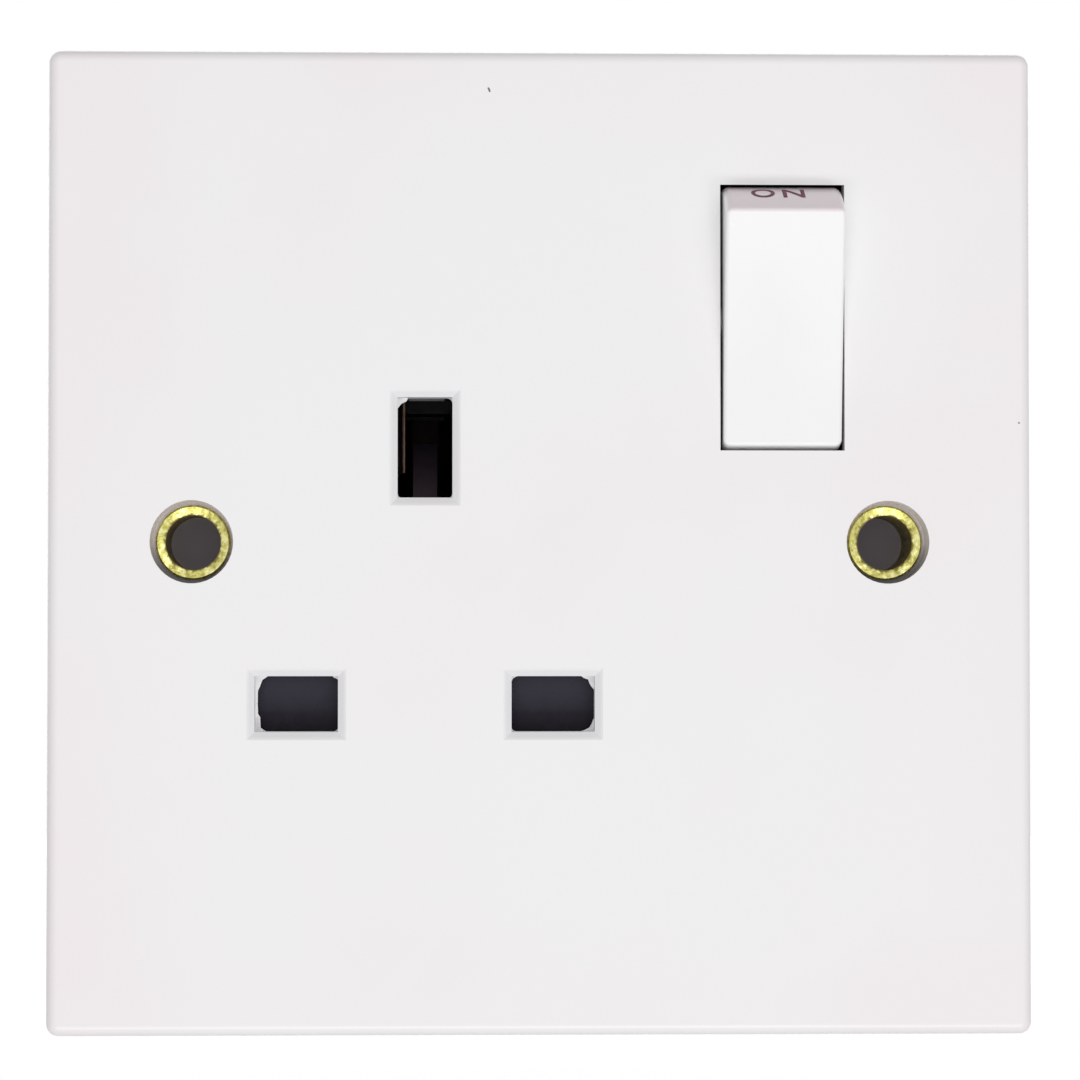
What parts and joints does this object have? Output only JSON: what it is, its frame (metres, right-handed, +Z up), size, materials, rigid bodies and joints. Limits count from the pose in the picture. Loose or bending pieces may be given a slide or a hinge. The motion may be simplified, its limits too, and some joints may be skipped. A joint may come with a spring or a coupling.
{
  "type": "switched socket",
  "caption": "Square white wall socket with bevelled, shuttered pin slots, a rocker switch and brass-lined fixing holes, over a black housing with screw terminals.",
  "frame": {"origin": "midway between the two fixing holes, on the plane of the wall", "axes": "+X to the right and +Z up as seen from in front, +Y into the wall"},
  "size_m": [0.0856, 0.035, 0.0856],
  "materials": {
    "white_moulding": "smooth glossy thermoset moulding",
    "black_moulding": "dull black moulding",
    "shutter_moulding": "dull charcoal moulding",
    "natural_nylon": "translucent white nylon",
    "brass": "bright pressed or turned brass",
    "contact_silver": "polished silver alloy",
    "plated_steel": "zinc-plated steel"
  },
  "bodies": {
    "base": {"front_plate": "white_moulding", "rear_housing": "black_moulding", "line_strap": "brass", "live_contact": "brass", "neutral_contact": "brass", "earth_strap": "brass", "earth_contact": "brass", "earth_rivets": "brass", "neutral_terminal": "brass", "line_terminal": "brass", "earth_terminal": "brass", "neutral_screw": "brass", "line_screw": "brass", "earth_screw": "brass", "left_eyelet": "brass", "right_eyelet": "brass", "fixed_contact_tip": "contact_silver", "shutter_spring": "plated_steel", "assembly_screws": "plated_steel"},
    "rocker": {"rocker": "white_moulding", "plunger_spring": "plated_steel"},
    "plunger": {"plunger": "natural_nylon"},
    "contact_lever": {"moving_contact": "brass", "moving_contact_tip": "contact_silver"},
    "shutter": {"shutter": "shutter_moulding"}
  },
  "joints": [
    {"name": "rocker_tilt", "type": "hinge", "parent": "base", "child": "rocker", "pos_m": [0.021, -0.0062, 0.0195], "axis": [-1, 0, 0], "range_deg": [0, 22]},
    {"name": "contact_tilt", "type": "hinge", "parent": "base", "child": "contact_lever", "pos_m": [0.021, 0.006, 0.0195], "axis": [1, 0, 0], "range_deg": [0, 18]},
    {"name": "plunger_slide", "type": "slide", "parent": "rocker", "child": "plunger", "axis": [0, -0.9816, -0.1908], "range_m": [0, 0.0008], "stiffness_N_per_m": 300, "springref_m": -0.003, "deforming": ["plunger_spring"]},
    {"name": "shutter_slide", "type": "slide", "parent": "base", "child": "shutter", "axis": [0, 0, -1], "range_m": [0, 0.0056], "stiffness_N_per_m": 40, "springref_m": -0.008, "deforming": ["shutter_spring"]}
  ],
  "couplings": [
    {"joint": "contact_tilt", "follows": "rocker_tilt", "ratio": 0.81818}
  ]
}
